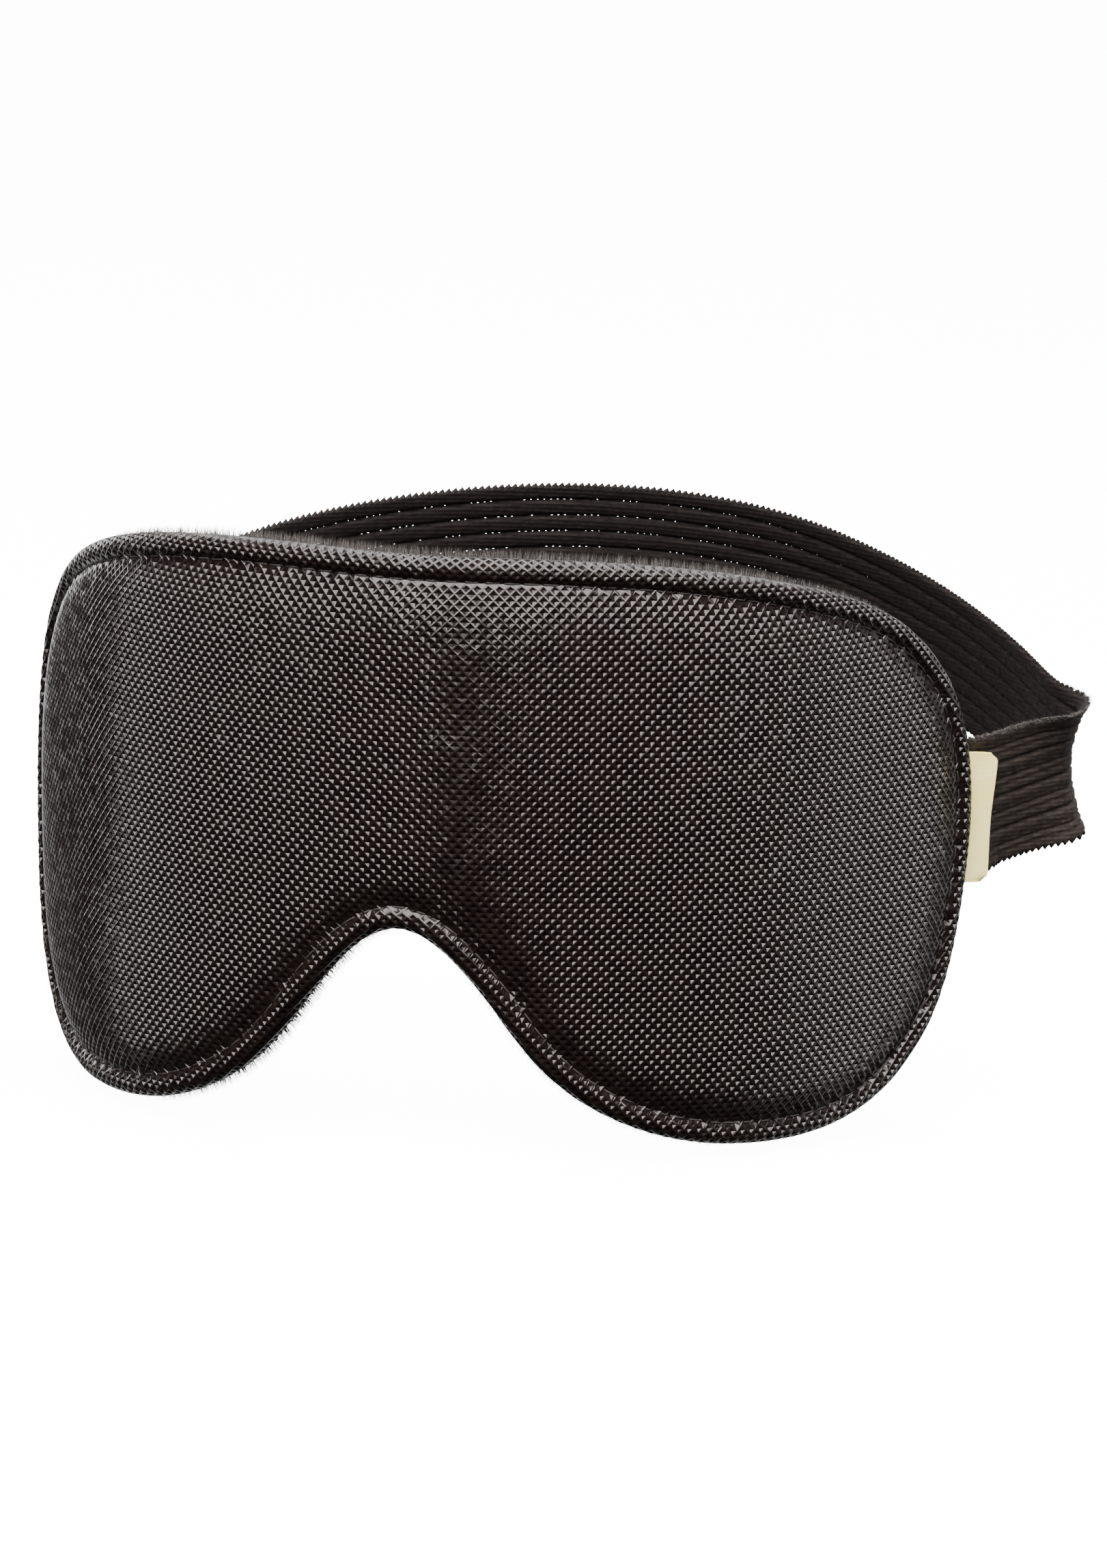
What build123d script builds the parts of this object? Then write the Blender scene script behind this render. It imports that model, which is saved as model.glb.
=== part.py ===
from build123d import *
from math import cos, degrees, radians, sin
import os

# Contoured blackout sleep mask: an embossed leatherette front, foam and plush sewn into one curved
# pad with a turned edge, worn on a knitted elastic strap, with a folded ribbon label in the side seam.
#
# Frame: +Z up, the front faces -Y and the wearer's head is on the +Y side. The origin is where the
# lining rests on the bridge of the nose. Lengths are millimetres and angles are degrees.
#
# Places on the pad are given as s, along the curved pad from the nose, z, up, and t, the depth behind
# the front face.

# Pad, laid flat: the right half of its outline from the top middle, round the wing, to the notch.
HALF_OUTLINE = [
    (0, 42.4), (40, 41.3), (77, 34.8), (98, 26), (110.5, 12), (114.5, -5), (113, -22),
    (106.5, -41.5), (92, -54.5), (68, -59), (43, -55.4), (25, -44.5), (12.5, -29.3), (0, -21.4),
]
HALF_LENGTH = 114.5
# Pad, worn: each half bends back in these arcs, as (length, turn), from the nose outwards.
PAD_BENDS = [(12, 14.1), (36, 20.0), (30, 23.4), (44, 5.5)]

# Depths of the layers behind the front face.
SHELL = 0.9
BACKING = 0.4
FOAM = 4.0
PAD_DEPTH = 7.7
EDGE_DEPTH = 5.0
SKIN_GAP = 0.05
FLANGE_FRONT = SHELL + BACKING + 2 * SKIN_GAP
FLANGE_BACK = FLANGE_FRONT + SHELL
EDGE_LINING_FRONT = 2.85
FOAM_BACK = FLANGE_FRONT + FOAM

# Distances in from the outline.
SEAM_ALLOWANCE = 5.4
LINING_INSET = 0.3
LINING_RISER = 4.9
FOAM_INSET = 5.6
TOPSTITCH_INSET = 4.0
CLOSING_SEAM_INSET = 1.1
GROOVE_WIDTH = 1.2
GROOVE_DEPTH = 0.35

# Sewing thread: each seam's thread runs on all round the pad, and a bar tack is one dense bar.
THREAD = 0.33
TACK_ROWS = 2
TACK_INSET = 3.5
TACK_SPACING = 1.4
TACK_WIDTH = 1.2

# Elastic strap: its middle plane rises backwards by STRAP_TILT from the line through both ends.
STRAP_WIDTH = 25.0
STRAP_THICK = 1.3
STRAP_TILT = 16.0
STRAP_HEIGHT = -7.5
TAB_DEPTH = 3.5
TAB_LENGTH = 5.9
TAB_PROUD = 0.7
ROOT_LENGTH = 7.0
END_LENGTH = 16.0
SIDE_LENGTH = 62.0
ROOT_HEADING = 50.0
# From the right end of the loop to the left, as (length, turn).
STRAP_BENDS = [(14.4, 0), (4.6, 70), (43, 13), (39, 14), (56, 44), (42, 28), (42, 36), (32, 2)]
CORES = 11
CORE_WIDTH = 0.8
CORE_THICK = 0.5

# Folded ribbon label, in the right-hand side seam in front of the strap.
LABEL_HEIGHT = 22.7
LABEL_MIDDLE = -8.5
LABEL_LENGTH = 5.0
LABEL_THICK = 0.7
LABEL_PLY = 0.3
LABEL_DEPTH = 1.87
LABEL_TAB_LENGTH = 5.0
LABEL_HINGE_GAP = 0.5
LABEL_HEADING = 24.0

FIT_GAP = 0.1
TALL = 150


def follow(bends, length, x=0.0, y=0.0, heading=0.0):
    """Point and heading after a length along a chain of tangent arcs and straight runs."""
    angle = radians(heading)
    for run, turn in bends:
        step = min(run, length)
        bend = radians(turn) / run
        after = angle + bend * step
        if bend:
            x += (sin(after) - sin(angle)) / bend
            y += (cos(angle) - cos(after)) / bend
        else:
            x += step * cos(angle)
            y += step * sin(angle)
        angle = after
        length -= step
        if length <= 0:
            break
    return x, y, degrees(angle)


def band(point_at, stations, low, high):
    """Flat face between two parallel lines of the chain, from its first station to its last."""
    def line(offset):
        pairs = zip(stations, stations[1:])
        return [ThreePointArc(point_at(a, offset), point_at((a + b) / 2, offset), point_at(b, offset))
                if bends_between(a, b) else Line(point_at(a, offset), point_at(b, offset))
                for a, b in pairs]

    def bends_between(a, b):
        (x0, y0), (x1, y1), (x2, y2) = (point_at(v, low) for v in (a, (a + b) / 2, b))
        return abs((x1 - x0) * (y2 - y0) - (y1 - y0) * (x2 - x0)) > 1e-4

    start, end = stations[0], stations[-1]
    ends = [Line(point_at(v, low), point_at(v, high)) for v in (start, end)]
    return make_face(line(low) + line(high) + ends)


def stations_between(bends, start, end):
    """The two ends and every change of radius between them."""
    cuts, total = [], 0.0
    for run, _ in bends:
        total += run
        if start < total < end:
            cuts.append(total)
    return [start, *cuts, end]


# The pad ---------------------------------------------------------------------------------------

def pad_place(s, t=0.0):
    """Where the point at s, t is in plan, and the pad's heading there."""
    side = -1 if s < 0 else 1
    x, y, heading = follow(PAD_BENDS, abs(s))
    heading *= side
    return side * x - t * sin(radians(heading)), y + t * cos(radians(heading)) - PAD_DEPTH, heading


def pad_point(s, t=0.0):
    return pad_place(s, t)[:2]


def flat_outline():
    mirrored = [(-s, z) for s, z in HALF_OUTLINE[-2:0:-1]]
    return Spline(*HALF_OUTLINE, *mirrored, periodic=True)


FLAT_OUTLINE = flat_outline()


def on_outline(fraction, inset):
    """s, z and direction in the s-z plane, a distance in from the outline, which runs clockwise."""
    point = FLAT_OUTLINE @ fraction
    along = FLAT_OUTLINE % fraction
    return point.X + along.Y * inset, point.Y - along.X * inset, along


def layer(front, back, inset, samples=40):
    """One sheet of the pad between two depths, cut square to its face along the inset outline."""
    cuts = stations_between(PAD_BENDS, 0, sum(run for run, _ in PAD_BENDS))
    cuts = [-c for c in cuts[:0:-1]] + cuts
    arcs = [ThreePointArc(*(pad_point(v, front) for v in (a, (a + b) / 2, b)))
            for a, b in zip(cuts, cuts[1:])]
    tall_sheet = Shell.extrude(Pos(0, 0, -TALL / 2) * Wire(arcs), (0, 0, TALL))
    edge = [on_outline(i / samples, inset) for i in range(samples)]
    seen_from_front = Spline(*((pad_point(s, front)[0], z) for s, z, _ in edge), periodic=True)
    cutter = extrude(Plane.XZ * Face(Wire([seen_from_front])), TALL, both=True)
    sheet = Shell((tall_sheet & cutter).faces())
    return Part(Solid.thicken(sheet, back - front, normal_override=(0, 1, 0)).wrapped)


def on_pad(s, z, t, shape):
    """Stand a shape on the pad: its X along the pad, its Z up and its Y into the depth."""
    x, y, heading = pad_place(s, t)
    return Pos(x, y, z) * Rot(0, 0, heading) * shape


def seam_thread(inset, front):
    """A thread that runs all round the pad at one inset, between two depths."""
    back = front + THREAD
    return layer(front, back, inset - THREAD / 2) - layer(front, back, inset + THREAD / 2)


def tab_middle(length, proud):
    return HALF_LENGTH + proud - length / 2


def strap_tab(side, gap=0.0):
    size = (TAB_LENGTH + gap, STRAP_THICK + 2 * gap, STRAP_WIDTH + 2 * gap)
    return on_pad(side * tab_middle(TAB_LENGTH, TAB_PROUD + gap / 2), STRAP_HEIGHT, TAB_DEPTH, Box(*size))


def label_tab(gap=0.0):
    size = (LABEL_TAB_LENGTH + gap, LABEL_THICK + 2 * gap, LABEL_HEIGHT + 2 * gap)
    return on_pad(tab_middle(LABEL_TAB_LENGTH, gap / 2), LABEL_MIDDLE, LABEL_DEPTH, Box(*size))


def bar_tack(side):
    """Dense bars of thread across the strap tab, between it and the shell's turned edge."""
    depth = (FLANGE_BACK + TAB_DEPTH - STRAP_THICK / 2) / 2
    bar = Box(TACK_WIDTH, THREAD, STRAP_WIDTH - 4)
    rows = [HALF_LENGTH - TACK_INSET - row * TACK_SPACING for row in range(TACK_ROWS)]
    return Compound([on_pad(side * s, STRAP_HEIGHT, depth, bar) for s in rows])


def make_pad():
    ring_groove = layer(-FIT_GAP, GROOVE_DEPTH, TOPSTITCH_INSET - GROOVE_WIDTH / 2) - layer(
        -FIT_GAP, GROOVE_DEPTH, TOPSTITCH_INSET + GROOVE_WIDTH / 2)
    backing_room = layer(SHELL, FLANGE_FRONT, SHELL)
    inside = layer(SHELL, FLANGE_BACK + FIT_GAP, SEAM_ALLOWANCE)
    shell = layer(0, FLANGE_BACK, 0) - backing_room - inside - ring_groove - label_tab(FIT_GAP)

    backing = layer(SHELL + SKIN_GAP, SHELL + SKIN_GAP + BACKING, SHELL + FIT_GAP)
    foam = layer(FLANGE_FRONT, FOAM_BACK, FOAM_INSET)
    lining = layer(EDGE_LINING_FRONT, EDGE_DEPTH, LINING_INSET)
    lining += layer(EDGE_LINING_FRONT, PAD_DEPTH, LINING_RISER)
    lining -= layer(EDGE_LINING_FRONT - FIT_GAP, FOAM_BACK + SKIN_GAP, FOAM_INSET - SKIN_GAP)
    tab_room = strap_tab(-1, FIT_GAP) + strap_tab(1, FIT_GAP)
    lining -= tab_room
    closing_seam = seam_thread(CLOSING_SEAM_INSET, (FLANGE_BACK + EDGE_LINING_FRONT - THREAD) / 2)
    return {
        "front_shell": shell,
        "shell_backing": backing,
        "foam_pad": foam,
        "plush_lining": lining,
        "topstitch_needle_thread": seam_thread(TOPSTITCH_INSET, GROOVE_DEPTH - THREAD - SKIN_GAP),
        "topstitch_bobbin_thread": seam_thread(TOPSTITCH_INSET, EDGE_DEPTH + SKIN_GAP),
        "closing_seam_thread": closing_seam,
        "strap_tab_right": strap_tab(1),
        "strap_tab_left": strap_tab(-1),
        "bar_tack_right": bar_tack(1),
        "bar_tack_left": bar_tack(-1),
        "label_tab": label_tab(),
    }


# The strap -------------------------------------------------------------------------------------

END_X, END_Y = pad_point(HALF_LENGTH + TAB_PROUD, TAB_DEPTH)
STRAP_PLANE = Plane(origin=(0, END_Y, STRAP_HEIGHT), x_dir=(1, 0, 0),
                    z_dir=(0, -sin(radians(STRAP_TILT)), cos(radians(STRAP_TILT))))
LOOP_LENGTH = sum(run for run, _ in STRAP_BENDS)
LOOP_START = (END_X + ROOT_LENGTH * cos(radians(ROOT_HEADING)), ROOT_LENGTH * sin(radians(ROOT_HEADING)))


def strap_place(length, offset=0.0):
    """Where the strap is in its own plane, and its heading there."""
    x, y, heading = follow(STRAP_BENDS, length, *LOOP_START, ROOT_HEADING)
    return x - offset * sin(radians(heading)), y + offset * cos(radians(heading)), heading


def strap_point(length, offset=0.0):
    return strap_place(length, offset)[:2]


def strap_run(start, end, thick, width, middle=0.0):
    face = band(strap_point, stations_between(STRAP_BENDS, start, end), -thick / 2, thick / 2)
    return STRAP_PLANE * Pos(0, 0, middle) * extrude(face, width / 2, both=True)


def strap_span(start, end):
    """A stretch of the elastic, and the rubber cores that run through its ribs."""
    pitch = STRAP_WIDTH / (CORES + 0.5)
    knit = strap_run(start, end, STRAP_THICK, STRAP_WIDTH)
    cores = []
    for i in range(CORES):
        middle = (i - (CORES - 1) / 2) * pitch
        knit -= strap_run(start, end, CORE_THICK + SKIN_GAP, CORE_WIDTH + SKIN_GAP, middle)
        cores.append(strap_run(start, end, CORE_THICK - SKIN_GAP, CORE_WIDTH - SKIN_GAP, middle))
    return knit, Compound(cores)


def strap_root(side, loop_end):
    """The short free stretch between the sewn tab and the loop, where the strap tilts."""
    flat = Rectangle(STRAP_THICK, STRAP_WIDTH)
    x, y, heading = pad_place(side * (HALF_LENGTH + TAB_PROUD + SKIN_GAP), TAB_DEPTH)
    out = Vector(side * cos(radians(heading)), side * sin(radians(heading)), 0)
    sewn = Plane(origin=(x, y, STRAP_HEIGHT), x_dir=out.cross(Vector(0, 0, 1)), z_dir=out) * flat
    x, y, heading = strap_place(loop_end)
    heading += 180 if side < 0 else 0
    across = STRAP_PLANE.x_dir * sin(radians(heading)) - STRAP_PLANE.y_dir * cos(radians(heading))
    onward = STRAP_PLANE.x_dir * cos(radians(heading)) + STRAP_PLANE.y_dir * sin(radians(heading))
    start = STRAP_PLANE.from_local_coords(Vector(x, y, 0)) - onward * SKIN_GAP
    free = Plane(origin=start, x_dir=across, z_dir=onward) * flat
    return loft([sewn, free])


def make_strap():
    right_side = END_LENGTH + SIDE_LENGTH
    left_side = LOOP_LENGTH - right_side
    spans = {
        "end_right": (0, END_LENGTH - SKIN_GAP),
        "side_right": (END_LENGTH, right_side),
        "rear": (right_side + SKIN_GAP, left_side - SKIN_GAP),
        "side_left": (left_side, LOOP_LENGTH - END_LENGTH),
        "end_left": (LOOP_LENGTH - END_LENGTH + SKIN_GAP, LOOP_LENGTH),
    }
    nodes = {"strap_root_right": strap_root(1, 0), "strap_root_left": strap_root(-1, LOOP_LENGTH)}
    for name, (start, end) in spans.items():
        nodes[f"strap_{name}"], nodes[f"elastic_cores_{name}"] = strap_span(start, end)
    return nodes


# The label -------------------------------------------------------------------------------------

def label_flap():
    """The ribbon outside the seam: two plies and the fold that joins them."""
    x, y, _ = pad_place(HALF_LENGTH + 0.4, LABEL_DEPTH)
    outer = Pos(LABEL_LENGTH / 2, 0) * RectangleRounded(LABEL_LENGTH, LABEL_THICK, LABEL_THICK * 0.49)
    room = LABEL_THICK - 2 * LABEL_PLY
    inner = Pos(LABEL_LENGTH / 2 - LABEL_PLY, 0) * Rectangle(LABEL_LENGTH, room)
    sewn_end = Pos(0, 0) * Rectangle(2 * LABEL_HINGE_GAP, 2 * LABEL_THICK)
    ribbon = extrude(outer - inner - sewn_end, LABEL_HEIGHT / 2, both=True)
    return Pos(x, y, LABEL_MIDDLE) * Rot(0, 0, LABEL_HEADING) * ribbon


nodes = {**make_pad(), **make_strap(), "label_flap": label_flap()}

os.makedirs("parts", exist_ok=True)
for node, shape in nodes.items():
    export_step(shape, f"parts/{node}.step")

hinge_x, hinge_y, _ = pad_place(HALF_LENGTH + 0.4, LABEL_DEPTH)
landing = STRAP_PLANE.from_local_coords(Vector(*strap_point(LOOP_LENGTH), 0))
print(f"flat outline round {FLAT_OUTLINE.length:.0f}, strap loop {LOOP_LENGTH:.0f}")
print(f"strap hinge at y {END_Y:.2f} z {STRAP_HEIGHT}, strap ends at x {END_X:.2f}")
print(f"loop starts at {LOOP_START[0]:.2f}, {LOOP_START[1]:.2f} and lands at {tuple(landing)}")
print(f"label hinge at x {hinge_x:.2f} y {hinge_y:.2f}")
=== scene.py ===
import math
import bpy
import bmesh
import numpy as np
from mathutils import Matrix, Vector
from mathutils.geometry import delaunay_2d_cdt


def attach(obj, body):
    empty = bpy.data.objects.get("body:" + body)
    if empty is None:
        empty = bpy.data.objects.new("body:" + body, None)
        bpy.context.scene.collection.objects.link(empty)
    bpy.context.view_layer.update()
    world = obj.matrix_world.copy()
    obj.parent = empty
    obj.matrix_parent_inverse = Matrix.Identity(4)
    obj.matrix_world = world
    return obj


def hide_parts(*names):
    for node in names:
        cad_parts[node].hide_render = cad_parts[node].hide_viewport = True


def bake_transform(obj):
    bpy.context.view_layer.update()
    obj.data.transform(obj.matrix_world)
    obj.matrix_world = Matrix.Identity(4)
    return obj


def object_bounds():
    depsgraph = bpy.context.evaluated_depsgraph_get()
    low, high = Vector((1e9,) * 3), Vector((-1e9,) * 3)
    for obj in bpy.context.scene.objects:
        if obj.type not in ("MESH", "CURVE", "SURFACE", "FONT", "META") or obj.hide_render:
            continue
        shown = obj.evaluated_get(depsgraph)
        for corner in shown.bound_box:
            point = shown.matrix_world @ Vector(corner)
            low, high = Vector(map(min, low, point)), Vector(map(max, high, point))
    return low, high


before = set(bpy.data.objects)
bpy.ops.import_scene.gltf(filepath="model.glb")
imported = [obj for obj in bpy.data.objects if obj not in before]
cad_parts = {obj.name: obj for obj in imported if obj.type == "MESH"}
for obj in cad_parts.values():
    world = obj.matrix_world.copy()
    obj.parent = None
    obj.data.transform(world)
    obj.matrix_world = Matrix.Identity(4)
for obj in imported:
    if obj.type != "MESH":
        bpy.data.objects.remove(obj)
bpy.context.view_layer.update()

# A contoured sleep mask with an embossed leatherette front, a plush back and a knitted elastic strap.
# Lengths here are millimetres. Meshes are scaled to metres as they are made.

MM = 0.001
RANDOM = np.random.default_rng(7)

# The pad, as in the CAD: half the flat outline, and the arcs that each half bends back in.
HALF_OUTLINE = [
    (0, 42.4), (40, 41.3), (77, 34.8), (98, 26), (110.5, 12), (114.5, -5), (113, -22),
    (106.5, -41.5), (92, -54.5), (68, -59), (43, -55.4), (25, -44.5), (12.5, -29.3), (0, -21.4),
]
HALF_LENGTH = 114.5
PAD_BENDS = [(12, 14.1), (36, 20.0), (30, 23.4), (44, 5.5)]
PAD_DEPTH = 7.7

# The strap, on the CAD's line and at its width. Its knit is 0.7 mm thick between ribs and 1.2 mm over
# them, where the CAD's strap is 1.3 mm.
STRAP_WIDTH = 25.0
STRAP_THICK = 1.0
STRAP_TILT = math.radians(16)
STRAP_HEIGHT = -7.5
TAB_DEPTH = 3.5
TAB_LENGTH = 5.9
TAB_PROUD = 0.7
ROOT_LENGTH = 7.0
ROOT_HEADING = 50.0
STRAP_BENDS = [(14.4, 0), (4.6, 70), (43, 13), (39, 14), (56, 44), (42, 28), (42, 36), (32, 2)]
LOOP_LENGTH = sum(run for run, _ in STRAP_BENDS)

# The label, at the CAD's height and heading. It reaches 3.9 to 4.7 mm out, and the CAD's flap 5 mm.
LABEL_HEIGHT = 22.7
LABEL_MIDDLE = -8.5
LABEL_REACH = 3.9
LABEL_DEPTH = 1.87
LABEL_HEADING = math.radians(24)
LABEL_SEWN_HEADING = math.radians(63)
LABEL_HALF_THICK = 0.34
LABEL_TICK = 0.035

# Leatherette: a net of ridges round pits, and the roll that carries it round the edge.
CELL_WIDE = 1.85
CELL_TALL = 1.82
PIT_SHARE = 0.66
PIT_DEPTH = 0.44
PIT_RIM = 0.07
SEAM_INSET = 4.0
WRAP_END = -4.2
ROLL_INSET = 2.2
ROLL_DEPTH = 2.0
ROLL_RADIUS = 2.2
# The roll's angle in degrees at the stitch line, and its turn for each millimetre outwards.
ROLL_START = -55.0
ROLL_TURN = 25.0
# The cover's depth at the stitch line, and the heights and reaches by which it swells inwards.
CHANNEL_DEPTH = 0.62
CROWN = [(1.8, 3.5), (1.0, 14.0)]
# The embossing fades out between these distances from the stitch line.
EMBOSS_FADE = (0.45, 1.1)
STITCH_PITCH = 3.3
STITCH_LENGTH = 2.9
THREAD = 0.33

# Sheets inside the pad: points on each ring near the rim, and how far in each ring lies.
RIM_POINTS = 360
RIM_RINGS = (0, 0.5, 1.0, 1.6, 2.3, 3.1, 4.0)

# Plush: tufts tried and kept over its face, and hairs that stand out past the pad's edge.
TUFT_TRIES = 46000
TUFTS = 30000
FRINGE_HAIRS = 15000

# Knit: columns across and rows along it, outer ribs, inner wales, and pinholes between the wales.
COLUMNS = 72
ROW = 0.6
RIBS = 12
WALES = 8
WALE_COLUMNS = COLUMNS // WALES
EDGE = 0.16
RIB_HEIGHT = 0.22
WALE_HEIGHT = 0.20
HOLE_SHARE = 0.42
OPEN_SHARE = 0.55
FUZZ_HAIRS = 1500
# Lengths along the strap: where pinholes start past its fold, and where its ends meet the band.
FOLD = 15.0
CUT = 21.6
# The strap's edges curl outwards at the fold, more at the top than at the bottom.
CURL_MIDDLE = 16.8
CURL_REACH = 6.5
CURL_TOP = 3.6
CURL_BOTTOM = 2.3


# Geometry helpers ------------------------------------------------------------------------------

def follow(bends, length, x=0.0, y=0.0, heading=0.0):
    """Points and headings, in radians, at lengths along a chain of tangent arcs."""
    left = np.asarray(length, float)
    px, py = np.full(left.shape, float(x)), np.full(left.shape, float(y))
    angle = np.full(left.shape, math.radians(heading))
    for i, (run, turn) in enumerate(bends):
        step = np.clip(left, 0, run if i < len(bends) - 1 else None)
        bend = math.radians(turn) / run
        after = angle + bend * step
        if bend:
            px = px + (np.sin(after) - np.sin(angle)) / bend
            py = py + (np.cos(angle) - np.cos(after)) / bend
        else:
            px, py = px + step * np.cos(angle), py + step * np.sin(angle)
        angle, left = after, left - step
    return px, py, angle


def on_pad(flat, depth):
    """World points for flat points (s along the pad, z up) at depths behind the front face."""
    flat = np.asarray(flat, float)
    x, y, heading = follow(PAD_BENDS, np.abs(flat[:, 0]))
    side = np.where(flat[:, 0] < 0, -1.0, 1.0)
    return np.stack([side * (x - depth * np.sin(heading)), y + depth * np.cos(heading) - PAD_DEPTH,
                     flat[:, 1]], 1)


def smoothstep(low, high, value):
    share = np.clip((value - low) / (high - low), 0, 1)
    return share * share * (3 - 2 * share)


def closed_spline(points, count):
    """Evenly spaced points of the periodic cubic spline through the points."""
    p = np.array(points, float)
    n = len(p)
    h = np.linalg.norm(np.roll(p, -1, 0) - p, axis=1)
    before = np.roll(h, 1)
    system = np.zeros((n, n))
    for i in range(n):
        system[i, i - 1] += before[i]
        system[i, i] += 2 * (before[i] + h[i])
        system[i, (i + 1) % n] += h[i]
    slope = (np.roll(p, -1, 0) - p) / h[:, None]
    curve = np.linalg.solve(system, 6 * (slope - np.roll(slope, 1, 0)))
    fine = []
    for i in range(n):
        u = np.linspace(0, h[i], 200, endpoint=False)[:, None]
        j = (i + 1) % n
        a, b = (h[i] - u) / h[i], u / h[i]
        fine.append(a * p[i] + b * p[j] + ((a**3 - a) * curve[i] + (b**3 - b) * curve[j]) * h[i]**2 / 6)
    return resample(np.concatenate(fine), count)


def resample(loop, count):
    ring = np.vstack([loop, loop[:1]])
    run = np.concatenate([[0], np.cumsum(np.linalg.norm(np.diff(ring, axis=0), axis=1))])
    at = np.linspace(0, run[-1], count, endpoint=False)
    return np.stack([np.interp(at, run, ring[:, k]) for k in range(loop.shape[1])], 1)


OUTLINE = closed_spline(HALF_OUTLINE + [(-s, z) for s, z in HALF_OUTLINE[-2:0:-1]], 1400)
ALONG = np.roll(OUTLINE, -1, 0) - np.roll(OUTLINE, 1, 0)
ALONG /= np.linalg.norm(ALONG, axis=1)[:, None]
INWARD = np.stack([ALONG[:, 1], -ALONG[:, 0]], 1)
PITCH = np.linalg.norm(OUTLINE[1] - OUTLINE[0])


def inset_of(points):
    """Inset from the outline, the outline point that is nearest, the way in, and the run to it."""
    points = np.asarray(points, float)
    inset, run = np.zeros(len(points)), np.zeros(len(points))
    foot, inward = np.zeros((len(points), 2)), np.zeros((len(points), 2))
    for at in range(0, len(points), 3000):
        p = points[at:at + 3000]
        gap = (p[:, :1] - OUTLINE[:, 0])**2 + (p[:, 1:] - OUTLINE[:, 1])**2
        k = gap.argmin(1)
        away = p - OUTLINE[k]
        slide = np.clip((away * ALONG[k]).sum(1), -PITCH / 2, PITCH / 2)
        depth = (away * INWARD[k]).sum(1)
        far = np.sqrt(gap[np.arange(len(p)), k])
        inset[at:at + 3000] = np.where(far > 8, far * np.sign(depth), depth)
        foot[at:at + 3000] = OUTLINE[k] + ALONG[k] * slide[:, None]
        inward[at:at + 3000] = INWARD[k]
        run[at:at + 3000] = k * PITCH + slide
    return inset, foot, inward, run


def ring_at(inset, count):
    return resample(OUTLINE + INWARD * inset, count)


def make_object(name, points, faces, material, smooth=True, sharp=None, tidy=True):
    mesh = bpy.data.meshes.new(name)
    mesh.from_pydata((np.asarray(points) * MM).tolist(), [], [tuple(int(i) for i in f) for f in faces])
    if tidy:
        work = bmesh.new()
        work.from_mesh(mesh)
        loose = [v for v in work.verts if not v.link_faces]
        bmesh.ops.delete(work, geom=loose, context="VERTS")
        bmesh.ops.recalc_face_normals(work, faces=work.faces)
        work.to_mesh(mesh)
        work.free()
    mesh.polygons.foreach_set("use_smooth", [smooth] * len(mesh.polygons))
    if sharp:
        mesh.set_sharp_from_angle(angle=math.radians(sharp))
    mesh.materials.append(material)
    mesh.update()
    piece = bpy.data.objects.new(name, mesh)
    bpy.context.scene.collection.objects.link(piece)
    return piece


def fill_loop(points, loop_edges):
    """Triangles inside the closed loop, and how the given points are numbered among them."""
    out = delaunay_2d_cdt([Vector(p) for p in points.tolist()], loop_edges, [], 1, 1e-6)
    places, triangles, source = out[0], out[2], out[3]
    return np.array([tuple(p) for p in places]), triangles, [s[0] if s else -1 for s in source]


def crowned_sheet(name, inset, front, back, step, material, wobble=0.0):
    """A closed sheet of the pad whose two faces are at depths worked out from the inset."""
    low, high = OUTLINE.min(0), OUTLINE.max(0)
    grid = np.stack(np.meshgrid(np.arange(low[0], high[0], step), np.arange(low[1], high[1], step)),
                    -1).reshape(-1, 2)
    rings = [ring_at(inset + more, RIM_POINTS) for more in RIM_RINGS]
    inner = grid[inset_of(grid)[0] > inset + RIM_RINGS[-1] + step * 0.5]
    inner = inner + RANDOM.uniform(-step / 5, step / 5, inner.shape)
    flat = np.concatenate(rings + [inner])
    edges = [(i, (i + 1) % RIM_POINTS) for i in range(RIM_POINTS)]
    flat, triangles, source = fill_loop(flat, edges)
    depth = inset_of(flat)[0]
    on_rim = np.array([0 <= s < RIM_POINTS for s in source])
    uneven = wobble * RANDOM.uniform(-1, 1, len(flat))
    middle = (front(depth) + back(depth)) / 2
    near = on_pad(flat, np.where(on_rim, middle, front(depth)))
    far = on_pad(flat, np.where(on_rim, middle, back(depth) + uneven))
    shift = np.where(on_rim, np.arange(len(flat)), np.arange(len(flat)) + len(flat))
    faces = [tuple(t) for t in triangles] + [tuple(shift[list(t)][::-1]) for t in triangles]
    return make_object(name, np.concatenate([near, far]), faces, material)


def tufts(name, base, tip, radius, material):
    """A tapered hair from each base to its tip, closed at its root."""
    way = tip - base
    way /= np.linalg.norm(way, axis=1)[:, None]
    side = np.cross(way, RANDOM.normal(size=way.shape))
    side /= np.linalg.norm(side, axis=1)[:, None]
    other = np.cross(way, side)
    points = []
    for angle in (0, 2.094, 4.189):
        points.append(base + (side * math.cos(angle) + other * math.sin(angle)) * radius[:, None])
    points = np.stack(points + [tip], 1).reshape(-1, 3)
    first = np.arange(len(base)) * 4
    faces = [np.stack([first + a, first + b, first + c], 1)
             for a, b, c in ((0, 1, 3), (1, 2, 3), (2, 0, 3), (0, 2, 1))]
    return make_object(name, points, np.concatenate(faces), material, smooth=False, tidy=False)


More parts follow.
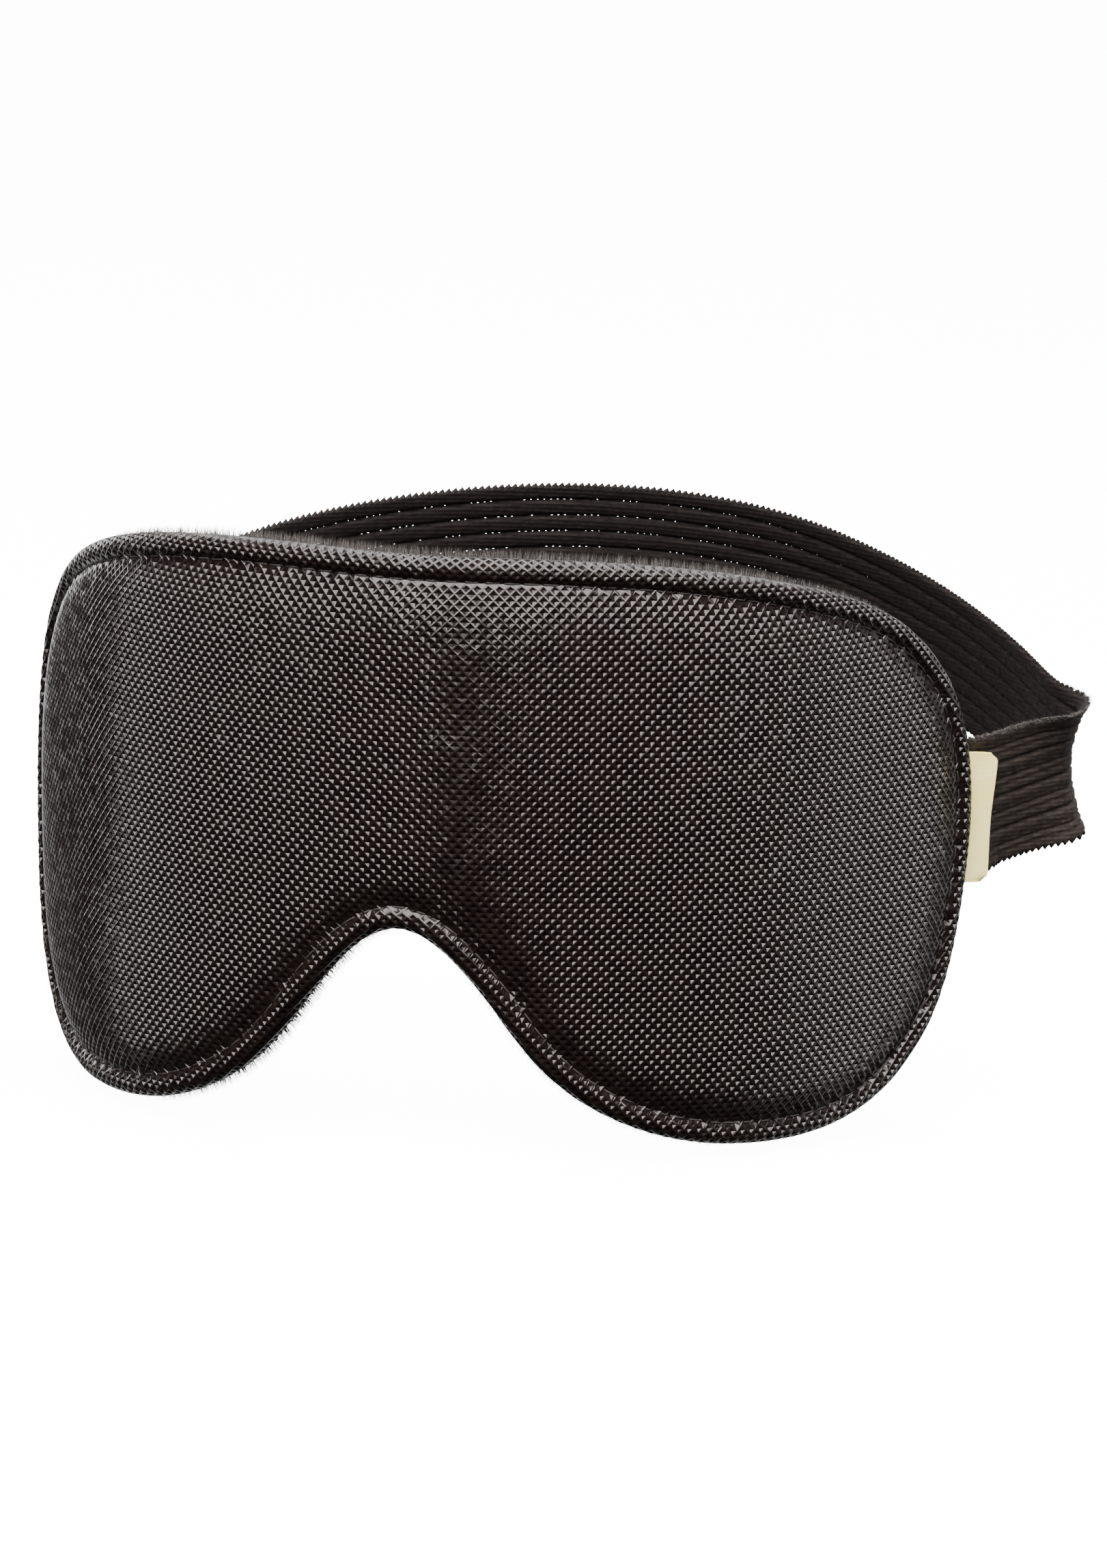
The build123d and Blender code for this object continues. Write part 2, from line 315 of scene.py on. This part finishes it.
def tube(path, radius, sides=7):
    """Points and faces of a round closed tube through the path."""
    path = np.asarray(path, float)
    way = np.gradient(path, axis=0)
    way /= np.linalg.norm(way, axis=1)[:, None]
    side = np.cross(way, [0.31, 0.17, 0.94])
    side /= np.linalg.norm(side, axis=1)[:, None]
    other = np.cross(way, side)
    turn = np.arange(sides) * 2 * math.pi / sides
    points = (path[:, None] + radius * (side[:, None] * np.cos(turn)[None, :, None]
                                        + other[:, None] * np.sin(turn)[None, :, None]))
    faces = [tuple(range(sides))[::-1], tuple((len(path) - 1) * sides + k for k in range(sides))]
    for i in range(len(path) - 1):
        for k in range(sides):
            a, b = i * sides + k, i * sides + (k + 1) % sides
            faces.append((a, b, b + sides, a + sides))
    return points.reshape(-1, 3), faces


# Materials -------------------------------------------------------------------------------------

def make_material(name, dark, light, roughness, grain, bump, patches=260, weave=None, **sockets):
    """Colour and roughness that vary over the piece, and a fine bump. Scales are per metre."""
    material = bpy.data.materials.new(name)
    material.use_nodes = True
    nodes, links = material.node_tree.nodes, material.node_tree.links
    shader = nodes["Principled BSDF"]
    place = nodes.new("ShaderNodeTexCoord").outputs["Object"]

    def noise(scale, detail):
        node = nodes.new("ShaderNodeTexNoise")
        node.inputs["Scale"].default_value = scale
        node.inputs["Detail"].default_value = detail
        links.new(place, node.inputs["Vector"])
        return node.outputs["Fac"]

    ramp = nodes.new("ShaderNodeValToRGB")
    ramp.color_ramp.elements[0].position, ramp.color_ramp.elements[1].position = 0.32, 0.7
    ramp.color_ramp.elements[0].color = (*dark, 1)
    ramp.color_ramp.elements[1].color = (*light, 1)
    links.new(noise(patches, 4), ramp.inputs["Fac"])
    links.new(ramp.outputs["Color"], shader.inputs["Base Color"])
    spread = nodes.new("ShaderNodeMapRange")
    spread.inputs["To Min"].default_value, spread.inputs["To Max"].default_value = roughness
    links.new(noise(patches * 4, 3), spread.inputs["Value"])
    links.new(spread.outputs["Result"], shader.inputs["Roughness"])
    height = noise(grain, 5)
    if weave:
        threads = nodes.new("ShaderNodeTexWave")
        threads.bands_direction = weave[0]
        threads.inputs["Scale"].default_value = weave[1]
        threads.inputs["Distortion"].default_value = 1.5
        threads.inputs["Detail Scale"].default_value = 2.0
        links.new(place, threads.inputs["Vector"])
        both = nodes.new("ShaderNodeMath")
        both.operation = "ADD"
        links.new(height, both.inputs[0])
        links.new(threads.outputs["Fac"], both.inputs[1])
        height = both.outputs["Value"]
    relief = nodes.new("ShaderNodeBump")
    relief.inputs["Distance"].default_value = bump
    relief.inputs["Strength"].default_value = 0.7
    links.new(height, relief.inputs["Height"])
    links.new(relief.outputs["Normal"], shader.inputs["Normal"])
    for socket, value in sockets.items():
        shader.inputs[socket.replace("_", " ")].default_value = value
    return material


LEATHERETTE = make_material("leatherette", (0.005, 0.003, 0.0028), (0.009, 0.006, 0.005), (0.14, 0.24),
                            9000, 0.000012, Specular_IOR_Level=0.42)
THREAD_LOOK = make_material("thread", (0.010, 0.008, 0.008), (0.024, 0.020, 0.019), (0.55, 0.75),
                            6000, 0.00004, weave=("DIAGONAL", 900))
PLUSH = make_material("plush", (0.020, 0.017, 0.015), (0.055, 0.048, 0.042), (0.75, 0.95),
                      3000, 0.0002, patches=420, Sheen_Weight=0.6, Sheen_Roughness=0.4)
# The knit's outer face gets a lighter copy of this material as painted light. Its inside, edges and
# pinhole walls get a darker copy as painted shade.
ELASTIC_PAINTED_SHADE = make_material("elastic", (0.0022, 0.0012, 0.0011), (0.0075, 0.0050, 0.0042), (0.6, 0.85),
                        5000, 0.00006, patches=900, weave=("Z", 420), Specular_IOR_Level=0.2)
ELASTIC_OUTSIDE_PAINTED_LIGHT = make_material("elastic_outside_painted_light", (0.008, 0.0055, 0.0045), (0.024, 0.018, 0.015),
                                (0.6, 0.85), 5000, 0.00006, patches=900, weave=("Z", 420),
                                Specular_IOR_Level=0.3)
RUBBER = make_material("rubber", (0.05, 0.045, 0.04), (0.09, 0.08, 0.07), (0.4, 0.6), 3000, 0.00003)
LABEL = make_material("label", (0.97, 0.85, 0.26), (1.0, 0.92, 0.40), (0.45, 0.6),
                      7000, 0.00003, weave=("Z", 900))
FOAM = make_material("foam", (0.30, 0.29, 0.26), (0.46, 0.44, 0.40), (0.85, 0.95), 2200, 0.0003)
INTERLINING = make_material("interlining", (0.42, 0.41, 0.38), (0.58, 0.57, 0.54), (0.8, 0.9),
                            2600, 0.0001)


# The pad ---------------------------------------------------------------------------------------

def front_depth(inset):
    """Depth of the padded front, which swells inwards from the stitch line."""
    past = np.maximum(inset - SEAM_INSET, 0)
    depth = CHANNEL_DEPTH
    for height, reach in CROWN:
        depth = depth - height * (1 - np.exp(-past / reach))
    return depth


def onto_shell(flat, height):
    """World points of the leatherette, which rolls round the edge outside the stitch line."""
    inset, foot, inward, run = inset_of(flat)
    shown = height * smoothstep(*EMBOSS_FADE, np.abs(inset - SEAM_INSET))
    pull = 0.10 * np.cos(run * 2 * math.pi / STITCH_PITCH) * np.exp(-((inset - SEAM_INSET) / 1.5)**2)
    soft = 0.16 * np.sin(flat[:, 0] / 11 + 1.3) * np.sin(flat[:, 1] / 8.5 + flat[:, 0] / 23)
    turn = np.radians(ROLL_START + ROLL_TURN * (SEAM_INSET - inset))
    roll_in = ROLL_INSET - (ROLL_RADIUS + shown) * np.sin(turn)
    roll_depth = ROLL_DEPTH - (ROLL_RADIUS + 0.2 + shown) * np.cos(turn)
    rolled = inset < SEAM_INSET
    place = np.where(rolled[:, None], foot + inward * roll_in[:, None], flat)
    depth = np.where(rolled, roll_depth,
                     front_depth(inset) - shown + soft * smoothstep(4, 14, inset)) + pull
    return place, depth


def make_shell():
    cols = int((HALF_LENGTH + 7) / (CELL_WIDE / 2))
    rows = int(70 / (CELL_TALL / 2))
    i, j = np.meshgrid(np.arange(-cols, cols + 1), np.arange(-rows, rows + 1), indexing="ij")
    flat = np.stack([i * CELL_WIDE / 2, j * CELL_TALL / 2], -1)
    inset = inset_of(flat.reshape(-1, 2))[0].reshape(i.shape)
    middle = ((i + j) % 2 == 0) & (inset > WRAP_END)
    middle[0, :] = middle[-1, :] = middle[:, 0] = middle[:, -1] = False
    mi, mj = np.nonzero(middle)
    number = -np.ones(i.shape, int)
    sides = [(-1, 0), (0, -1), (1, 0), (0, 1)]
    for di, dj in sides:
        number[mi + di, mj + dj] = 0
    ci, cj = np.nonzero(number == 0)
    number[ci, cj] = np.arange(len(ci))
    corners = flat[ci, cj]
    centre = flat[mi, mj]
    reach = np.array([CELL_WIDE / 2, CELL_TALL / 2]) * PIT_SHARE
    rims = [centre + np.array(d) * reach for d in sides]
    count, cells = len(corners), len(centre)
    all_flat = np.concatenate([corners, *rims, centre])
    height = np.concatenate([np.zeros(count), np.full(4 * cells, -PIT_RIM), np.full(cells, -PIT_DEPTH)])
    height += RANDOM.normal(0, 0.012, len(height))
    place, depth = onto_shell(all_flat, height)
    corner = [number[mi + di, mj + dj] for di, dj in sides]
    rim = [count + k * cells + np.arange(cells) for k in range(4)]
    pit = count + 4 * cells + np.arange(cells)
    faces = []
    for k in range(4):
        n = (k + 1) % 4
        faces.append(np.stack([corner[k], corner[n], rim[n]], 1))
        faces.append(np.stack([corner[k], rim[n], rim[k]], 1))
        faces.append(np.stack([rim[k], rim[n], pit], 1))
    faces = np.concatenate(faces)
    points = on_pad(place, depth)

    # The turned edge is closed across the back, under the lining.
    pairs = np.concatenate([np.stack([corner[k], corner[(k + 1) % 4]], 1) for k in range(4)])
    keys, times = np.unique(np.sort(pairs, 1), axis=0, return_counts=True)
    rim_edges = keys[times == 1]
    used, order = np.unique(rim_edges, return_inverse=True)
    order = order.reshape(-1, 2)
    grid = np.stack(np.meshgrid(np.arange(-112, 113, 3.5), np.arange(-57, 41, 3.5)), -1).reshape(-1, 2)
    grid = grid[inset_of(grid)[0] > 4]
    spots = np.concatenate([place[used], grid])
    spots, triangles, source = fill_loop(spots, [tuple(int(v) for v in e) for e in order])
    inner = inset_of(spots)[0]
    fill = on_pad(spots, 1.7 + 2.4 * np.exp(-np.maximum(inner - 1.5, 0) / 1.2))
    renumber = [int(used[s]) if 0 <= s < len(used) else len(points) + n for n, s in enumerate(source)]
    back = [tuple(renumber[v] for v in t)[::-1] for t in triangles]
    return make_object("leatherette_front", np.concatenate([points, fill]),
                       list(map(tuple, faces.tolist())) + back, LEATHERETTE, smooth=False)


def stitches(name, depth_at, lift):
    """Separate stitches along the seam line, each sinking into the cover at its ends."""
    ring = ring_at(SEAM_INSET, 2800)
    total = np.linalg.norm(np.diff(np.vstack([ring, ring[:1]]), axis=0), axis=1).sum()
    count = int(round(total / STITCH_PITCH))
    points, faces, first = [], [], 0
    share = np.array([0, 0.1, 0.3, 0.5, 0.7, 0.9, 1.0])
    sink = np.array([1, 0.45, 0.08, 0, 0.08, 0.45, 1])
    for n in range(count):
        at = (n + share * STITCH_LENGTH / STITCH_PITCH) / count * len(ring)
        spot = ring[at.astype(int) % len(ring)] + RANDOM.normal(0, 0.04, 2)
        path = on_pad(spot, depth_at + lift * (1 - 3.2 * sink))
        p, f = tube(path, THREAD / 2)
        points.append(p)
        faces += [tuple(v + first for v in face) for face in f]
        first += len(p)
    return make_object(name, np.concatenate(points), faces, THREAD_LOOK)


def lining_back(inset):
    """Depth of the plush, with its rim tucked into the seam and a soft sewn channel."""
    rim = 3.7 + 1.35 * smoothstep(1.6, 2.8, inset)
    channel = -0.45 * np.exp(-((inset - SEAM_INSET) / 0.8)**2)
    return rim + channel + 2.5 * (1 - np.exp(-np.maximum(inset - 4.2, 0) / 3.4))


def lining_front(inset):
    return 3.3 - 0.4 * smoothstep(1.8, 3, inset) + 2.6 * smoothstep(5, 8, inset)


def pile():
    """Tufts all over the plush face."""
    low, high = OUTLINE.min(0), OUTLINE.max(0)
    spots = RANDOM.uniform(low, high, (TUFT_TRIES, 2))
    inset = inset_of(spots)[0]
    keep = inset > 2.4
    spots, inset = spots[keep][:TUFTS], inset[keep][:TUFTS]
    depth = lining_back(inset)
    lean = RANDOM.normal(0, 0.5, spots.shape)
    length = RANDOM.uniform(0.9, 1.5, len(spots))
    return tufts("plush_pile", on_pad(spots, depth - 0.35), on_pad(spots + lean, depth + length),
                 RANDOM.uniform(0.22, 0.36, len(spots)), PLUSH)


def fringe():
    """Hairs of the plush that stand out past the rolled edge."""
    count = FRINGE_HAIRS
    k = RANDOM.integers(0, len(OUTLINE), count)
    root = RANDOM.uniform(1.5, 2.6, count)
    tip = RANDOM.uniform(-1.35, -0.2, count)
    slide = RANDOM.normal(0, 0.5, count)
    start = OUTLINE[k] + INWARD[k] * root[:, None]
    end = OUTLINE[k] + INWARD[k] * tip[:, None] + ALONG[k] * slide[:, None]
    depth = RANDOM.uniform(4.1, 4.9, count)
    return tufts("plush_fringe", on_pad(start, depth), on_pad(end, depth + RANDOM.uniform(0, 0.9, count)),
                 RANDOM.uniform(0.05, 0.10, count), PLUSH)


# The strap -------------------------------------------------------------------------------------

def plane_point(x, y):
    return np.stack([x, END_Y + y * math.cos(STRAP_TILT), STRAP_HEIGHT + y * math.sin(STRAP_TILT)], 1)


def pad_end(length, side):
    """Middle of the sewn tab, a length past the root's sewn end."""
    flat = np.stack([side * (HALF_LENGTH + TAB_PROUD - length), np.full(len(length), STRAP_HEIGHT)], 1)
    return on_pad(flat, TAB_DEPTH)


END_X, END_Y = on_pad([(HALF_LENGTH + TAB_PROUD, 0)], TAB_DEPTH)[0][:2]
LOOP_START = (END_X + ROOT_LENGTH * math.cos(math.radians(ROOT_HEADING)),
              ROOT_LENGTH * math.sin(math.radians(ROOT_HEADING)))
ACROSS = np.array([0, -math.sin(STRAP_TILT), math.cos(STRAP_TILT)])
UP = np.array([0, 0, 1.0])


def bridge(p0, p1, d0, d1, u):
    u = u[:, None]
    return ((2 * u**3 - 3 * u**2 + 1) * p0 + (u**3 - 2 * u**2 + u) * d0
            + (3 * u**2 - 2 * u**3) * p1 + (u**3 - u**2) * d1)


def strap_middle(q):
    """Middle line of the whole strap, from inside the right-hand seam to inside the left."""
    x, y, _ = follow(STRAP_BENDS, np.clip(q, 0, LOOP_LENGTH), *LOOP_START, ROOT_HEADING)
    middle = plane_point(x, y)
    for side, start, before in ((1, 0.0, -q), (-1, LOOP_LENGTH, q - LOOP_LENGTH)):
        near = np.array([start, start + side * 0.5])
        nx, ny, _ = follow(STRAP_BENDS, near, *LOOP_START, ROOT_HEADING)
        loop = plane_point(nx, ny)
        sewn = pad_end(np.array([0.0, 0.5]), side)
        out = (sewn[0] - sewn[1]) / 0.5 * ROOT_LENGTH
        onward = (loop[1] - loop[0]) / 0.5 * ROOT_LENGTH
        root = bridge(loop[0], sewn[0], -onward, -out, np.clip(before / ROOT_LENGTH, 0, 1))
        middle = np.where(((before > 0) & (before <= ROOT_LENGTH))[:, None], root, middle)
        middle = np.where((before > ROOT_LENGTH)[:, None],
                          pad_end(np.maximum(before - ROOT_LENGTH, 0), side), middle)
    return middle


def strap_surface(q, v, lift):
    """World points at lengths q, widths v and heights over the middle, outwards."""
    step = 0.3
    middle = strap_middle(q)
    way = strap_middle(q + step) - strap_middle(q - step)
    way /= np.linalg.norm(way, axis=1)[:, None]
    sewn = np.clip(np.maximum(-q, q - LOOP_LENGTH) / ROOT_LENGTH, 0, 1)[:, None]
    across = ACROSS * (1 - sewn) + UP * sewn
    across = across - way * (across * way).sum(1)[:, None]
    across /= np.linalg.norm(across, axis=1)[:, None]
    out = np.cross(way, across)
    edge = np.abs(v) / (STRAP_WIDTH / 2)
    curl = edge**2 * np.exp(-((q - CURL_MIDDLE) / CURL_REACH)**2) * np.where(v > 0, CURL_TOP, CURL_BOTTOM)
    return middle + across * v[:, None] + out * (lift + curl)[:, None]


def strap_piece(name, start, end):
    """Knitted band with ribs outside, wider wales inside, pinholes between them and beaded edges."""
    rows = int(round((end - start) / ROW))
    q = np.linspace(start, end, rows + 1)
    q[3:-1:2] -= (1 - HOLE_SHARE) * ROW
    v = np.linspace(-1, 1, COLUMNS + 1) * STRAP_WIDTH / 2
    pinned = np.arange(WALE_COLUMNS, COLUMNS - 1, WALE_COLUMNS)
    v[pinned] += 0.09
    v[pinned + 1] -= 0.09
    qq, vv = (a.ravel() for a in np.meshgrid(q, v, indexing="ij"))
    course = (np.arange(rows + 1) % 2)[:, None].repeat(COLUMNS + 1, 1).ravel()
    share = (vv / STRAP_WIDTH + 0.5)
    rib = np.abs(np.sin(share * RIBS * math.pi))**0.7
    wale = np.abs(np.sin(share * WALES * math.pi))**0.6
    beads = np.where(np.abs(vv) > STRAP_WIDTH / 2 - 0.4, (course - 0.5) * 0.7 * np.sign(vv), 0)
    thin = np.zeros(COLUMNS + 1)
    thin[pinned] = thin[pinned + 1] = 0.75
    thin = 1 - np.tile(thin, rows + 1)
    rim = np.abs(vv) > STRAP_WIDTH / 2 - 0.01
    loops = RANDOM.normal(0, 0.025, len(qq))
    core = STRAP_THICK / 2 - EDGE
    outer = np.where(rim, EDGE, (core + RIB_HEIGHT * rib + 0.06 * course) * thin + loops)
    inner = np.where(rim, -EDGE, (-core - WALE_HEIGHT * wale - 0.07 * course) * thin + loops)
    points = np.concatenate([strap_surface(qq, vv + beads, outer), strap_surface(qq, vv + beads, inner)])
    half, wide = len(qq), COLUMNS + 1
    faces, outside = [], []
    holes = {(r, c) for r in range(2, rows - 2, 2) for c in pinned.tolist()
             if FOLD < q[r] < LOOP_LENGTH and RANDOM.random() < OPEN_SHARE}
    for r in range(rows):
        for c in range(COLUMNS):
            a = r * wide + c
            loop = (a, a + 1, a + wide + 1, a + wide)
            if (r, c) in holes:
                for k in range(4):
                    m, n = loop[k], loop[(k + 1) % 4]
                    faces.append((m, n, n + half, m + half))
            else:
                outside.append(len(faces))
                faces.append(loop)
                faces.append(tuple(p + half for p in loop[::-1]))
    ends = [range(wide), range(rows * wide + wide - 1, rows * wide - 1, -1)]
    rims = [range(rows * wide, -1, -wide), range(wide - 1, half, wide)]
    for chain in (list(x) for x in ends + rims):
        faces += [(n, m, m + half, n + half) for m, n in zip(chain, chain[1:])]
    # Outer faces take the lighter copy, which is painted light. Inside faces, edges, ends and pinhole
    # walls keep the darker copy, which is painted shade.
    piece = make_object(name, points, faces, ELASTIC_PAINTED_SHADE, sharp=65)
    piece.data.materials.append(ELASTIC_OUTSIDE_PAINTED_LIGHT)
    for index in outside:
        piece.data.polygons[index].material_index = 1
    return piece


def strap_fuzz():
    """Broken fibres along the top edge of the strap by the right-hand seam."""
    count = FUZZ_HAIRS
    q = RANDOM.uniform(-5, 24, count)
    v = STRAP_WIDTH / 2 - RANDOM.uniform(-0.1, 0.9, count)
    base = strap_surface(q, v, np.full(count, 0.2))
    tip = strap_surface(q + RANDOM.normal(0, 0.5, count), v + RANDOM.uniform(0, 0.7, count),
                        RANDOM.uniform(0.4, 1.1, count))
    return tufts("strap_fuzz", base, tip, RANDOM.uniform(0.03, 0.06, count), PLUSH)


# The label -------------------------------------------------------------------------------------

def make_label():
    """Folded ribbon with woven ticks, flared and rounded at its top corner."""
    hinge = on_pad([(HALF_LENGTH + 0.4, 0)], LABEL_DEPTH)[0]
    cols, rows = 16, 132
    u = np.linspace(-4.5, 1, cols + 1)
    w = np.linspace(-1, 1, rows + 1)
    uu, ww = (a.ravel() for a in np.meshgrid(u, w, indexing="ij"))
    out = np.where(uu > 0, uu, 0)
    flare = 1 + 0.22 * smoothstep(-0.2, 1, ww) - 0.30 * smoothstep(0.84, 1, np.abs(ww))**2
    reach = np.where(uu > 0, out * LABEL_REACH * flare, uu)
    tick = LABEL_TICK * (np.arange(rows + 1) % 2)[None, :].repeat(cols + 1, 0).ravel() * (
        np.sin(uu * 14) > -0.5)
    fold = LABEL_HALF_THICK * np.sqrt(np.clip(1 - out**6, 0, 1))
    bow = 0.5 * out**2 * (ww + 0.3)
    turned = smoothstep(-1.5, 0.15, uu)
    heading = LABEL_SEWN_HEADING + (LABEL_HEADING - LABEL_SEWN_HEADING) * turned
    along = np.stack([np.cos(heading), np.sin(heading), 0 * heading], 1)
    side = np.stack([np.sin(heading), -np.cos(heading), 0 * heading], 1)
    base = hinge + along * reach[:, None] + UP * (LABEL_MIDDLE + ww * LABEL_HEIGHT / 2)[:, None]
    points = np.concatenate([base + side * (bow + fold + tick)[:, None],
                             base + side * (bow - fold - tick)[:, None]])
    half, wide = len(uu), rows + 1
    faces = []
    for r in range(cols):
        for c in range(rows):
            a = r * wide + c
            faces += [(a, a + 1, a + wide + 1, a + wide),
                      (a + half, a + wide + half, a + wide + 1 + half, a + 1 + half)]
    loop = (list(range(wide)) + list(range(2 * wide - 1, half, wide))
            + list(range(half - 2, half - wide - 1, -1)) + list(range(half - 2 * wide, 0, -wide)))
    for m, n in zip(loop, loop[1:] + loop[:1]):
        faces.append((n, m, m + half, n + half))
    label = make_object("ribbon_label", points, faces, LABEL, sharp=60)
    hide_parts("label_flap", "label_tab")
    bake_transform(label)
    return label


# Assembly --------------------------------------------------------------------------------------

shell = make_shell()
lining = crowned_sheet("plush_lining_sheet", 1.7, lining_front, lining_back, 2.0, PLUSH, 0.12)
foam = crowned_sheet("foam_core", 5.6, lambda d: 1.9 + 0.9 * np.exp(-np.maximum(d - 5.6, 0) / 2),
                     lambda d: 5.3 - 1.9 * np.exp(-np.maximum(d - 5.6, 0) / 2), 3.5, FOAM, 0.05)
backing = crowned_sheet("interlining_sheet", 1.3, lambda d: 1.78 + 0 * d, lambda d: 1.98 + 0 * d, 4.0,
                        INTERLINING)
needle = stitches("topstitch_front", 0.52, -0.10)
bobbin = stitches("topstitch_back", float(lining_back(np.array(SEAM_INSET))) + 0.1, 0.1)
tuft_pile, tuft_fringe = pile(), fringe()
for piece, slot_name, stands_for in (
        (shell, "leatherette", ["front_shell"]), (lining, "plush", ["plush_lining"]),
        (foam, "foam", ["foam_pad"]), (backing, "interlining", ["shell_backing"]),
        (needle, "thread", ["topstitch_needle_thread"]), (bobbin, "thread", ["topstitch_bobbin_thread"]),
        (tuft_pile, "plush", []), (tuft_fringe, "plush", [])):
    if stands_for:
        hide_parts(*stands_for)
    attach(piece, "mask")

strap_right = strap_piece("strap_right_end", -ROOT_LENGTH - TAB_LENGTH, CUT)
strap_left = strap_piece("strap_left_end", LOOP_LENGTH - CUT, LOOP_LENGTH + ROOT_LENGTH + TAB_LENGTH)
strap_band = strap_piece("strap_band", CUT, LOOP_LENGTH - CUT)
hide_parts("strap_tab_right", "strap_root_right", "strap_end_right",
            "elastic_cores_end_right")
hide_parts("strap_tab_left", "strap_root_left", "strap_end_left", "elastic_cores_end_left")
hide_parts("strap_side_right", "strap_side_left", "strap_rear",
            "elastic_cores_side_right", "elastic_cores_side_left", "elastic_cores_rear")
fuzz = strap_fuzz()
for piece, side in ((strap_right, 1), (fuzz, 1), (strap_left, -1)):
    loop_q, seam = (0.0, 1) if side > 0 else (LOOP_LENGTH, -1)
    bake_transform(piece)
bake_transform(strap_band)
make_label()

for node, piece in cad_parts.items():
    look = THREAD_LOOK if "thread" in node or "tack" in node else RUBBER
    piece.data.materials.clear()
    piece.data.materials.append(look)


# Camera, light and floor -----------------------------------------------------------------------

# Lens and sensor height in millimetres, distance in metres, angles in degrees. The camera points past
# its target by these shares of the distance, to the right and up.
CAMERA_AZIMUTH, CAMERA_ELEVATION, CAMERA_ROLL = 14.69, 11.13, 1.57
CAMERA_DISTANCE = 1.9
LENS = 261.26655
SENSOR_HEIGHT = 36.0
AIM_RIGHT = 0.01353297725
AIM_UP = 0.0019204225

# The white sweep behind the object is bright, and the room in front of it is dark.
FLOOR_GLOW = 12.0
SWEEP = 1.3
SURROUND = 0.05


def make_camera():
    azimuth, elevation, roll = (
        math.radians(angle) for angle in (CAMERA_AZIMUTH, CAMERA_ELEVATION, CAMERA_ROLL))
    target = Vector((0, -PAD_DEPTH * MM, 0))
    back = Vector((math.sin(azimuth) * math.cos(elevation), -math.cos(azimuth) * math.cos(elevation),
                   math.sin(elevation)))
    right = Vector((math.cos(azimuth), math.sin(azimuth), 0))
    up = right.cross(-back)
    rolled_right = right * math.cos(roll) + up * math.sin(roll)
    rolled_up = up * math.cos(roll) - right * math.sin(roll)
    view = (-back + rolled_right * AIM_RIGHT + rolled_up * AIM_UP).normalized()
    side = (rolled_right - view * rolled_right.dot(view)).normalized()
    data = bpy.data.cameras.new("camera")
    data.sensor_fit, data.sensor_height, data.lens = "VERTICAL", SENSOR_HEIGHT, LENS
    camera = bpy.data.objects.new("camera", data)
    top = side.cross(view)
    camera.matrix_world = Matrix.Translation(target + back * CAMERA_DISTANCE) @ Matrix(
        (side, top, -view)).transposed().to_4x4()
    bpy.context.scene.collection.objects.link(camera)
    bpy.context.scene.camera = camera


def area_light(name, place, size, power, colour=(1, 1, 1), aim=(0, 0.05, 0)):
    data = bpy.data.lights.new(name, "AREA")
    data.shape, data.size, data.size_y, data.energy = "RECTANGLE", size[0], size[1], power
    data.color = colour
    light = bpy.data.objects.new(name, data)
    light.location = place
    light.rotation_euler = (Vector(aim) - Vector(place)).to_track_quat("-Z", "Y").to_euler()
    bpy.context.scene.collection.objects.link(light)


def make_floor():
    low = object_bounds()[0][2] - 0.0004
    size = 40.0
    mesh = bpy.data.meshes.new("floor")
    mesh.from_pydata([(-size, -size, low), (size, -size, low), (size, size, low), (-size, size, low)],
                     [], [(0, 1, 2, 3)])
    floor = bpy.data.objects.new("floor", mesh)
    mesh.materials.append(make_material("floor", (0.86, 0.86, 0.86), (0.88, 0.88, 0.88), (0.8, 0.9), 3,
                                        0.0001, patches=2, Emission_Strength=FLOOR_GLOW,
                                        Emission_Color=(1, 1, 1, 1)))
    floor.visible_diffuse = floor.visible_glossy = False
    bpy.context.scene.collection.objects.link(floor)


def make_world():
    world = bpy.data.worlds.new("studio")
    world.use_nodes = True
    nodes, links = world.node_tree.nodes, world.node_tree.links
    ray = nodes.new("ShaderNodeLightPath")
    way = nodes.new("ShaderNodeSeparateXYZ")
    links.new(nodes.new("ShaderNodeTexCoord").outputs["Generated"], way.inputs["Vector"])
    sweep = nodes.new("ShaderNodeMapRange")
    sweep.interpolation_type = "SMOOTHSTEP"
    for socket, value in (("From Min", 0.1), ("From Max", 0.8), ("To Min", SURROUND), ("To Max", SWEEP)):
        sweep.inputs[socket].default_value = value
    links.new(way.outputs["Y"], sweep.inputs["Value"])
    strength = nodes.new("ShaderNodeMapRange")
    strength.inputs["To Max"].default_value = FLOOR_GLOW
    links.new(ray.outputs["Is Camera Ray"], strength.inputs["Value"])
    links.new(sweep.outputs["Result"], strength.inputs["To Min"])
    links.new(strength.outputs["Result"], nodes["Background"].inputs["Strength"])
    nodes["Background"].inputs["Color"].default_value = (1, 1, 1, 1)
    bpy.context.scene.world = world


make_camera()
area_light("front_softbox", (0.1, -0.85, 1.15), (2.6, 1.3), 145, (1.0, 0.94, 0.91))
area_light("overhead", (0.05, 0.25, 1.2), (1.5, 0.9), 45)
area_light("behind_left", (-1.2, 1.3, 0.25), (0.7, 0.9), 9)
make_world()
make_floor()
